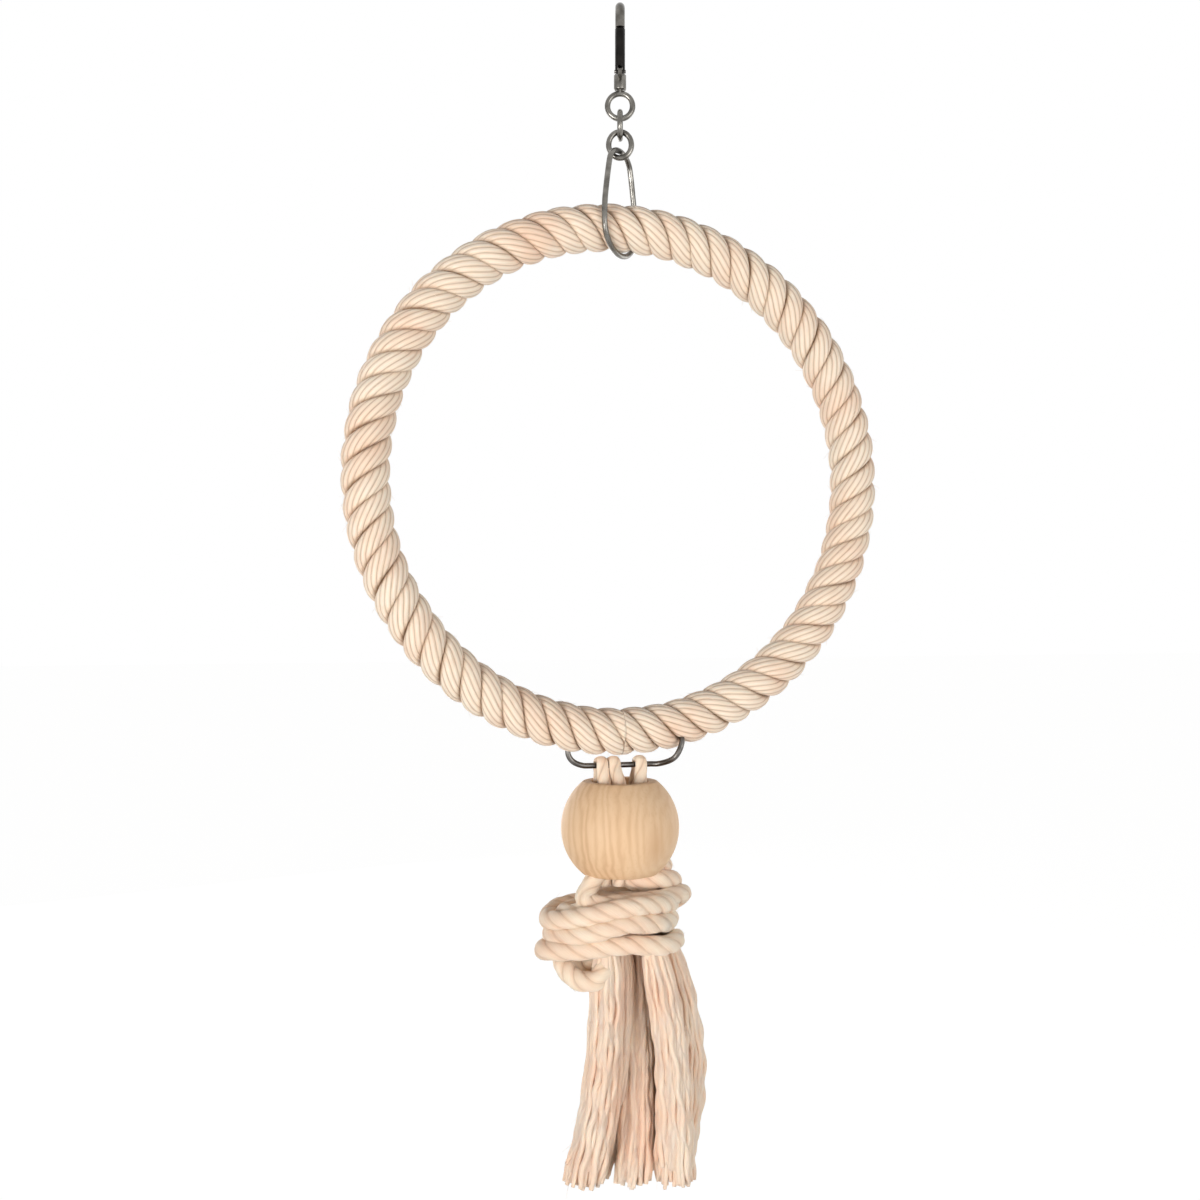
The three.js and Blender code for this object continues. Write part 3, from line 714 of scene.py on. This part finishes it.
@dataclass
class SnapHook:
    """Swivel snap hook with a spring gate, in millimetres."""

    wire_r: float = 2.0
    bow_r: float = 8.0
    nose_z: float = -9.0
    shank: tuple[Point, ...] = ((0, 7.8, -11), (0, 6.6, -18), (0, 5, -24.5), (0, 2.4, -30))
    barrel_r: float = 2.6
    barrel_top: float = -26.0
    barrel_bottom: float = -32.4
    pivot: Span = (-6.6, -27.0)
    eye_r: float = 5.3
    eye_z: float = -39.2
    eye_wire_r: float = 1.2
    turn_deg: float = -15.0
    stud_r: float = 1.2
    head_r: float = 2.0
    lug_r: float = 1.9
    lug_thick: float = 1.6
    lug_drop: float = 2.5
    lug_root: float = -0.63

    def drum(self, radius: float, low: float, high: float, round_mm: float) -> Piece:
        """Turns an upright drum with rounded edges."""
        piece = cylinder(radius, high - low, (0, 0, (high + low) / 2), 40)
        bevel(piece, round_mm)
        return settle(piece, 40)

    def body(self) -> Piece:
        """Bends the hook's rod and joins its barrel and lug."""
        r, bow_z = self.bow_r, self.wire_r - self.bow_r
        bend = [(0, -r, self.nose_z), (0, -r, bow_z - 1), (0, -r, bow_z)]
        for i in range(1, 8):
            turn = math.pi - math.pi * i / 8
            bend.append((0, r * math.cos(turn), bow_z + r * math.sin(turn)))
        bend += [(0, r, bow_z), *self.shank]
        rod = wire("snap_body", catmull(np.array(bend), False, 6), self.wire_r, False)
        barrel = self.drum(self.barrel_r, self.barrel_bottom, self.barrel_top, 0.4)
        hook = join("hook_rod", rod, barrel, self.lug())
        hook.rotation_euler.z = math.radians(self.turn_deg)
        return settle(hook, 40)

    def lug(self) -> Piece:
        """Cuts the flat lug that carries the gate's pin, sloped so that the gate can open."""
        y, z = self.pivot
        root = self.lug_root * self.barrel_r
        middle = (y + root) / 2 * MM
        bpy.ops.mesh.primitive_cube_add(
            size=1,
            location=(0, middle, z * MM),
            scale=(self.lug_thick * MM, (root - y) * MM, 2 * self.lug_r * MM),
        )
        web = bpy.context.object
        bpy.ops.object.transform_apply()
        for corner in web.data.vertices:
            if corner.co.y > middle and corner.co.z > z * MM:
                corner.co.z -= self.lug_drop * MM
        boss = cylinder(self.lug_r, self.lug_thick, (0, y, z), 32, (0, math.pi / 2, 0))
        return join("lug", web, boss)

    def eye(self) -> Piece:
        """Makes the round eye with its headed stud."""
        way = math.radians(self.turn_deg)
        line = oval((math.cos(way), math.sin(way), 0), self.eye_z, self.eye_r, self.eye_r, 64)
        ring = wire("eye_ring", line, self.eye_wire_r, True)
        stud = self.drum(self.stud_r, self.eye_z + self.eye_r, self.barrel_top + 0.6, 0.2)
        head = self.drum(self.head_r, self.barrel_top + 0.3, self.barrel_top + 1.5, 0.5)
        return settle(join("swivel_ring", ring, stud, head), 40)

    def copy(self, node: Piece, name: str) -> Piece:
        """Copies a small rigid node with smooth round sides."""
        return settle(link_new(name, node.data.copy()), 32)

    def build(self, nodes: dict[str, Piece], nickel: Coat, steel: Coat) -> None:
        """Builds and dresses the hook's pieces."""
        nickel.dress(self.body(), Body.SNAP, "snap_body")
        nickel.dress(self.eye(), Body.EYE, "swivel_eye")
        gate = self.copy(nodes["snap_gate"], "gate_rod")
        # the gate takes the nickel with painted shade
        PAINTED_SHADE_NICKEL.make().dress(gate, Body.GATE, "snap_gate")
        pin = self.copy(nodes["gate_pivot_pin"], "gate_rivet")
        bevel(pin, 0.25, 2)
        steel.dress(pin, Body.SNAP, "gate_pivot_pin")
        spring = self.copy(nodes["gate_spring"], "gate_coil")
        steel.dress(spring, Body.GATE, "gate_spring")


@dataclass
class Chain:
    """Two oval links and the bail round the rope, in millimetres."""

    wire_r: float = 1.2
    half_len: float = 5.5
    half_width: float = 4.8
    upper_z: float = -47.3
    lower_z: float = -55.6
    turn_deg: float = -15.0
    bail_turn_deg: float = 40.0
    bail_top: float = -58.4
    bail_bow_half: float = 10.4
    bail_bow_rise: float = 7.0
    bail_shoulder: float = 9.0
    rope_z: float = -90.9
    rope_reach: float = 11.5

    def link(self, name: str, z: float, side: Point) -> Piece:
        """Bends one oval link."""
        return wire(name, oval(side, z, self.half_width, self.half_len, 72), self.wire_r, True)

    def bail(self) -> Piece:
        """Bends the pear-shaped bail."""
        turn = math.radians(self.bail_turn_deg)
        side = np.array([math.sin(turn), math.cos(turn), 0])
        half = self.rope_reach / math.cos(turn)
        outline = []
        for i in range(13):
            a = -math.pi + math.pi * i / 12
            outline.append((half * math.cos(a), self.rope_z + self.rope_reach * math.sin(a)))
        flank = [(half, self.rope_z + self.bail_shoulder * 0.55)]
        flank.append((half * 0.97, self.rope_z + self.bail_shoulder * 1.1))
        outline += flank
        for i in range(9):
            a = math.pi * (i + 0.4) / 8.8
            high = self.bail_top - self.bail_bow_rise * (1 - math.sin(a))
            outline.append((self.bail_bow_half * math.cos(a), high))
        outline += [(-s, z) for s, z in flank[::-1]]
        points = np.array([side * s + np.array([0, 0, z]) for s, z in outline])
        return wire("bail_loop", catmull(points, True, 6), self.wire_r, True)

    def build(self, nickel: Coat) -> None:
        """Builds and dresses the links and the bail."""
        c, s = math.cos(math.radians(self.turn_deg)), math.sin(math.radians(self.turn_deg))
        upper = self.link("link_upper", self.upper_z, (-s, c, 0))
        nickel.dress(upper, Body.UPPER_LINK, "chain_link_upper")
        lower = self.link("link_lower", self.lower_z, (c, s, 0))
        nickel.dress(lower, Body.LOWER_LINK, "chain_link_lower")
        nickel.dress(self.bail(), Body.BAIL, "hanging_bail")


@dataclass
class RopeRing:
    """Three-strand rope laid round a steel hoop, with the wire hanger under it, in millimetres."""

    ring_r: float = 106.5
    ring_z: float = -197.4
    rope_r: float = 10.0
    core_r: float = 2.0
    strands: int = 3
    turns: float = 21.7
    rows: int = 960
    seam: float = 0.5
    seam_cut: float = 0.1
    overlap: float = 3.6
    strand_mid: float = 6.0
    strand_half_width: float = 4.45
    # painted shade on the strands where they run under their neighbours, and in the yarn grooves
    lay: YarnLay = YarnLay(sides=66, yarns=11, turn_mm=-34.0, ridge=0.06, power=2.3, bury=0.72)
    fibres: int = 420
    fibre_len: float = 4.5
    fibre_top: float = 80.0
    hanger_r: float = 1.2
    hanger_z: float = -318.1
    hanger_gap: float = 0.6
    crown_half: float = 13.0
    left_x: float = -22.5
    right_x: float = 25.0
    right_turn_deg: float = 48.0
    seed: int = 3

    def strand(self, number: int) -> Piece:
        """Lays one strand along its helix round the hoop."""
        seam = self.seam / self.ring_r
        past = self.overlap / (TAU * self.ring_r)
        t = np.linspace(-past, 1 + past, self.rows)
        rng = np.random.default_rng(self.seed + number)
        shift = rng.uniform(0, TAU, 3)
        psi = seam / 2 + (TAU - seam) * t
        # a hand-laid rope is never quite even
        phi = TAU * (self.turns * t + number / self.strands) + 0.06 * np.sin(26 * np.pi * t + shift[0])
        full = 1 + 0.02 * np.sin(38 * np.pi * t + shift[1]) + 0.015 * np.sin(94 * np.pi * t + shift[2])
        radial = np.c_[-np.sin(psi), 0 * psi, -np.cos(psi)]
        front = np.array([0.0, -1.0, 0.0])
        out = np.cos(phi)[:, None] * radial + np.sin(phi)[:, None] * front
        middle = np.array([0, 0, self.ring_z]) + self.ring_r * radial
        line = (middle + self.strand_mid * out) * MM
        wide = self.strand_half_width * full * MM
        high = (self.rope_r - self.strand_mid) * full * MM
        tubes = Tubes()
        tubes.add(line, out, wide, high, self.lay, self.seam_cut * MM)
        tubes.fuzz(rng, self.fibres, self.fibre_len, (self.ring_z + self.fibre_top) * MM)
        return tubes.make(f"rope_strand_{number + 1}")

    def core(self) -> Piece:
        """Bends the steel hoop inside the rope."""
        line = oval((1, 0, 0), self.ring_z, self.ring_r, self.ring_r, 192)
        return wire("hoop_wire", line, self.core_r, True)

    def on_ring(self, x: float) -> np.ndarray:
        """Gives the rope's middle at a place across the bottom of the ring."""
        return np.array([x, 0, self.ring_z - math.sqrt(self.ring_r**2 - x * x)])

    def hanger(self) -> Piece:
        """Bends the wire hanger with both ends up into the rope."""
        turn = math.radians(self.right_turn_deg)
        side = np.array([0, -math.sin(turn), -math.cos(turn)])
        left_end = self.on_ring(self.left_x) + np.array([0, 0, -self.core_r - self.hanger_gap])
        left_foot = left_end + np.array([0, 0, -9])
        right_end = self.on_ring(self.right_x) + side * (self.core_r + self.hanger_gap)
        right_foot = self.on_ring(self.right_x) + side * (self.rope_r + 0.8)
        z, h = self.hanger_z, self.crown_half
        bend = [left_end, (left_end + left_foot) / 2, left_foot]
        bend += [(self.left_x + 2, 0, z + 2), (-h - 3.5, 0, z + 0.25)]
        bend += [(share * h, 0, z) for share in (-1, -0.5, 0, 0.5, 1)]
        bend += [(h + 4, -2, z + 0.3), (self.right_x - 3, -8, z + 3.6)]
        bend += [right_foot, (right_foot + right_end) / 2, right_end]
        return wire("hanger_wire", catmull(np.array(bend), False, 8), self.hanger_r, False)

    def build(self, cotton: Coat, steel: Coat) -> None:
        """Builds and dresses the ring."""
        for number in range(self.strands):
            nodes = ("hoop_rope",) if number == 0 else ()
            cotton.dress(self.strand(number), Body.RING, *nodes)
        steel.dress(self.core(), Body.RING, "hoop_core")
        steel.dress(self.hanger(), Body.RING, "tassel_hanger")


@dataclass
class Bead:
    """Turned beech ball with two flats and a wide bore, in millimetres."""

    radius: float = 25.0
    height: float = 38.9
    bore_r: float = 12.2
    middle_z: float = -344.35
    edge: float = 0.8

    def build(self, beech: Coat) -> None:
        """Turns, bores and dresses the bead."""
        bpy.ops.mesh.primitive_uv_sphere_add(
            segments=96, ring_count=64, radius=self.radius * MM, location=(0, 0, self.middle_z * MM)
        )
        ball = bpy.context.object
        bpy.ops.object.transform_apply()
        bpy.ops.object.mode_set(mode="EDIT")
        for sign in (1, -1):
            bpy.ops.mesh.select_all(action="SELECT")
            bpy.ops.mesh.bisect(
                plane_co=(0, 0, (self.middle_z + sign * self.height / 2) * MM),
                plane_no=(0, 0, sign),
                use_fill=True,
                clear_outer=True,
            )
        bpy.ops.object.mode_set(mode="OBJECT")
        drill = cylinder(self.bore_r, self.height * 2, (0, 0, self.middle_z), 96)
        combine(ball, drill, "DIFFERENCE")
        bevel(ball, self.edge, angle_limit=math.radians(30))
        ball.name = "beech_bead"
        beech.dress(settle(ball, 40), Body.BEAD, "wooden_bead")


# middle of the knotted bundle, its outward direction and its roll, from the bead down to the tuck
KNOT_PATH = (
    ((1, 0, -357), (0, -1, 0), -0.35),
    ((2.5, -1, -364.5), (0.2, -1, 0.5), -0.3),
    ((14.5, -2, -368.8), (0.6, -0.5, 0.8), -0.2),
    ((22, 5, -371), (0.9, 0.3, 0.4), 0),
    ((11, 13.5, -379.5), (0.5, 0.9, 0.2), 0),
    ((-6, 14.5, -384.5), (-0.2, 1, 0), 0),
    ((-20.5, 9.5, -387), (-0.75, 0.7, 0), -0.2),
    ((-26.5, -1.5, -387.5), (-1, -0.1, 0), -0.35),
    ((-18.5, -11.5, -385.5), (-0.7, -0.75, 0.1), -0.45),
    ((-2.5, -15, -383), (-0.1, -1, 0.1), -0.45),
    ((12, -12, -383.5), (0.6, -0.8, 0.1), -0.25),
    ((19, -1, -386), (1, 0, 0), 0.1),
    ((12, 8, -389.5), (0.6, 0.75, -0.2), 0.4),
)
# how single cords leave the bundle: row and column, place on the path, shift
KNOT_STRAYS = {
    (0, 2): {
        1: (-15.5, -3, -4),
        2: (-8, -2.5, -2.5),
        6: (-2, 0, 1),
        7: (-4.5, 0, 2),
        8: (-2, 0, 1.5),
        9: (0, 0, 0.5),
        10: (2, 0, -0.5),
    },
    (0, 0): {7: (0, 0, 0.5), 8: (0, 0, 1.5), 9: (0, 0, 3), 10: (0, 1.5, 1.5)},
    (0, 1): {8: (0, -0.5, 1), 9: (0, -1, 2.5), 10: (0, 2, 1), 11: (-1, 0, 1)},
    (1, 1): {9: (0, 0.5, -2), 10: (3, -4.5, -0.5), 11: (3.5, -1, 0.5)},
    (1, 2): {1: (-9, 2, -3), 9: (0, 0, -2), 10: (1, -3, -1.5), 11: (1, -1, -1.5)},
    (1, 0): {2: (2, 0, 1), 3: (2.5, 0, 1.5)},
}
# the two cords that make the lower ear, from the tuck to the frayed ends
KNOT_EAR = {
    (0, 0): [
        (-14, 9, -391.5),
        (-22, 6, -395.5),
        (-25, -2, -400.5),
        (-20.5, -9, -405.5),
        (-13.5, -11.5, -405.5),
        (-8.5, -9, -400),
        (-6, -5, -393.5),
    ],
    (1, 0): [
        (-13, 9.5, -391.5),
        (-19, 8.5, -396.5),
        (-20, 3, -401),
        (-15, 0, -403.5),
        (-9, 2, -399),
        (-6, 4, -393.5),
    ],
}
FOLDED_CORD = YarnLay(sides=36, yarns=3, turn_mm=26.0, ridge=0.12, power=2.3, groove=0.4)
# the frayed ends' core is painted in shade all over by its floor, as it lies inside the yarns
FRAYED_CORE = YarnLay(sides=40, yarns=13, turn_mm=90, ridge=0.08, floor=0.16, groove=0.3)


@dataclass
class Tassel:
    """Three folded cords, the knot below the bead and six frayed ends, in millimetres."""

    hanger_z: float = -318.1
    wire_r: float = 1.2
    gap: float = 0.3
    fold: float = 2.4
    cord_half: float = 2.9
    fold_half: float = 2.6
    cord_x: tuple[float, ...] = (-7.8, -1.7, 7.8)
    fold_x: tuple[float, ...] = (-8.4, -3.0, 8.5)
    cord_depth: tuple[float, ...] = (5.9, 8.4, 5.9)
    knot_top: float = -364.1
    knot_bottom: float = -398.5
    knot_half: tuple[float, ...] = (3.9, 4.2, 4.1, 4.3, 3.0)
    column_step: float = 7.3
    row_lift: Span = (3.5, -3.3)
    lead_out: tuple[Point, ...] = ((0.7, 0.8, -392.0), (1, 1, -397.5), (1, 1, -400.5))
    knot_fuzz: tuple[int, float] = (320, 5.0)
    end_fuzz: tuple[int, float] = (170, 6.0)
    end_z: float = -494.0
    end_tuck: float = 5.0
    end_diameter: float = 15.5
    rows: int = 56
    yarns: int = 72
    seed: int = 7

    def cord(self, number: int) -> Piece:
        """Folds one cord over the hanger, flat at the fold and round in the bead."""
        x, depth, z = self.cord_x[number], self.cord_depth[number], self.hanger_z
        inner = self.wire_r + self.gap
        leg = (inner + depth) / 2
        top = inner + self.fold / 2
        half = [(leg, self.knot_top - 4), (leg, z - 24), (leg, z - 9), (leg * 0.93, z - 4.5), (top * 1.04, z)]
        half += [(top * math.sin(a), z + top * math.cos(a)) for a in (1.05, 0.5)]
        flat = [(-y, low) for y, low in half] + [(0, z + top)] + half[::-1]
        line = catmull(np.array([(x, y, low) for y, low in flat]), False, 10)
        rise = np.clip((line[:, 2] - (z - 8)) / 8, 0, 1)
        high = (depth - inner) / 2 * (1 - rise) + self.fold / 2 * rise
        line[:, 0] += (self.fold_x[number] - x) * rise**2 * (3 - 2 * rise)
        wide = self.cord_half + (self.fold_half - self.cord_half) * rise
        out = np.c_[0 * rise, line[:, 1], np.maximum(line[:, 2] - z, 0) + 1e-6]
        tubes = Tubes()
        tubes.add(line * MM, out, wide * MM, high * MM, FOLDED_CORD)
        return tubes.make(f"folded_cord_{number + 1}")

    def knot(self) -> Piece:
        """Ties the six cords as one bundle in an overhand knot and leads them to the frayed ends."""
        mids, outs, roll = (np.array(values) for values in zip(*KNOT_PATH))
        along = unit(np.gradient(mids, axis=0))
        side = unit(np.cross(along, outs))
        up = np.cross(side, along)
        rng = np.random.default_rng(self.seed)
        tubes = Tubes()
        for number, facts in enumerate(self.ends()):
            (top_x, top_y), row, column = facts[0], number // 3, number % 3
            place = (column - 1) * self.column_step + rng.uniform(-0.7, 0.7, len(roll))
            lift = self.row_lift[row] + rng.uniform(-0.6, 0.6, len(roll))
            wide = place * np.cos(roll) - lift * np.sin(roll)
            high = place * np.sin(roll) * 0.55 + lift * np.cos(roll)
            line = mids + side * wide[:, None] + up * high[:, None]
            for key, shift in KNOT_STRAYS[row, column].items():
                line[key] += shift
            straight = [(top_x * a, top_y * b, z) for a, b, z in self.lead_out]
            tail = KNOT_EAR.get((row, column), straight)
            face = -1.0 if row == 0 else 1.0
            path = catmull(np.vstack([line, tail]), False, 10)
            out = np.vstack([up, np.tile((0.0, face, -0.2), (len(tail), 1))])
            height = unit(catmull(out, False, 10))
            count = len(path)
            size = np.interp(np.arange(count), [0, 60, 110, count - 16, count], self.knot_half) * MM
            lay = YarnLay(sides=36, yarns=3, turn_mm=22 + 2 * number, ridge=0.14, power=2.1, groove=0.32)
            tubes.add(path * MM, height, size, size, lay)
        tubes.fuzz(rng, *self.knot_fuzz)
        return tubes.make("overhand_knot")

    def yarn(self, tubes: Tubes, rng: Chance, number: int, middle: np.ndarray, reach: np.ndarray) -> None:
        """Hangs one loose yarn round the middle of a frayed end, within its reach."""
        share = np.linspace(0, 1, self.rows)
        fall = share * (middle[0, 2] - middle[-1, 2])
        rho = math.sqrt((number + 0.5) / self.yarns)
        angle = GOLDEN_ANGLE * number + rng.uniform(-0.3, 0.3)
        spin = angle + share * rng.uniform(-0.2, 1.0)
        # the yarns keep the crimp of the rope that they came from
        crimp = rng.uniform(0.2, 0.6) * np.minimum(share * 4, 1)
        drift = rng.uniform(0.3, 1.1) * share
        phase = rng.uniform(0, TAU, 4)
        wave = TAU * fall / rng.uniform(15, 26)
        pace = rng.uniform(3, 8)
        line = middle.copy()
        line[:, 0] += rho * reach * np.cos(spin) + crimp * np.sin(wave + phase[0])
        line[:, 1] += rho * reach * np.sin(spin) + crimp * np.cos(wave + phase[0])
        line[:, 0] += drift * np.sin(pace * share + phase[1])
        line[:, 1] += drift * np.sin(pace * share + phase[2])
        cut = rng.uniform(0, 4.0) * (1 - 0.4 * rho) if rng.uniform() < 0.85 else rng.uniform(3, 10)
        line[:, 2] += cut * share**3
        thick = (0.95 + 0.35 * rng.uniform() + 0.12 * share) * np.interp(share, [0.94, 1], [1, 0.7]) * MM
        out = np.c_[np.cos(spin), np.sin(spin), 0 * spin]
        # a random tone per yarn, and a little painted shade on the inner yarns
        deep = rng.uniform(0, 0.08) + (0.0 if rho > 0.75 else 0.04)
        lay = YarnLay(sides=7, yarns=2, turn_mm=rng.uniform(38, 70), ridge=0.1, floor=deep, groove=0.16)
        tubes.add(line * MM, out, thick, thick, lay)

    def strand(self, number: int, facts: tuple) -> Piece:
        (top_x, top_y), (low_x, low_y), end_z, swell = facts
        rng = np.random.default_rng(self.seed + number)
        share = np.linspace(0, 1, self.rows)
        top_z = self.knot_bottom + self.end_tuck
        middle = np.c_[
            top_x + (low_x - top_x) * share**2.5 + swell * np.sin(np.pi * share),
            top_y + (low_y - top_y) * share**2,
            top_z + (end_z - top_z) * share,
        ]
        reach = 3.4 + 2.6 * np.minimum(share / 0.15, 1) ** 0.7 + 1.8 * share**2
        tubes = Tubes()
        # a plain core fills the end, and stops short of the cut
        core = (reach - 0.7)[:-4] * np.where(share > 0.93, 0.5, 1)[:-4] * MM
        tubes.add(middle[:-4] * MM, np.tile((1.0, 0.0, 0.0), (len(core), 1)), core, core, FRAYED_CORE)
        for i in range(self.yarns):
            self.yarn(tubes, rng, i, middle, reach)
        tubes.fuzz(rng, *self.end_fuzz)
        piece = tubes.make(f"frayed_end_{number + 1}")
        return piece

    def ends(self) -> list[tuple]:
        """Gives each frayed end's top, foot, cut height and sideways swell."""
        z = self.end_z
        return [
            ((-8.0, -7.6), (-18.6, -9.4), z + 4, 0.0),
            ((8.6, 10.2), (3.6, -6.6), z + 1, 1.4),
            ((11.8, -8.2), (21.4, -9.8), z + 0.5, 6.8),
            ((0.2, 2.6), (-10.2, 6.2), z, 0.0),
            ((21.0, 13.2), (12.6, 12.0), z - 1, 2.0),
            ((20.4, 1.2), (26.4, 5.6), z + 2.5, 9.5),
        ]

    def build_ends(self, frayed: Coat) -> None:
        """Builds and dresses the frayed ends."""
        for number, facts in enumerate(self.ends()):
            node = f"tassel_strand_{number + 1}"
            frayed.dress(self.strand(number, facts), Body.TASSEL, node)

    def build_top(self, cotton: Coat) -> None:
        """Builds and dresses the folded cords and the knot."""
        for number in range(len(self.cord_x)):
            node = f"tassel_cord_{number + 1}"
            cotton.dress(self.cord(number), Body.TASSEL, node)
        cotton.dress(self.knot(), Body.TASSEL, "tassel_knot")


def main() -> None:
    """Builds the studio and every piece of the toy in order."""
    logging.basicConfig(level=logging.INFO, format="%(name)s: %(message)s")
    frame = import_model()
    Studio().build()
    tassel = Tassel()
    tassel.build_ends(FRAYED_COTTON.make())
    tassel.build_top(CORD_COTTON.make())
    nickel = NICKEL_PLATE.make()
    steel = DRAWN_STEEL.make()
    SnapHook().build(frame["nodes"], nickel, steel)
    Chain().build(nickel)
    RopeRing().build(ROPE_COTTON.make(), steel)
    Bead().build(TURNED_BEECH.make())


if __name__ == "__main__":
    main()
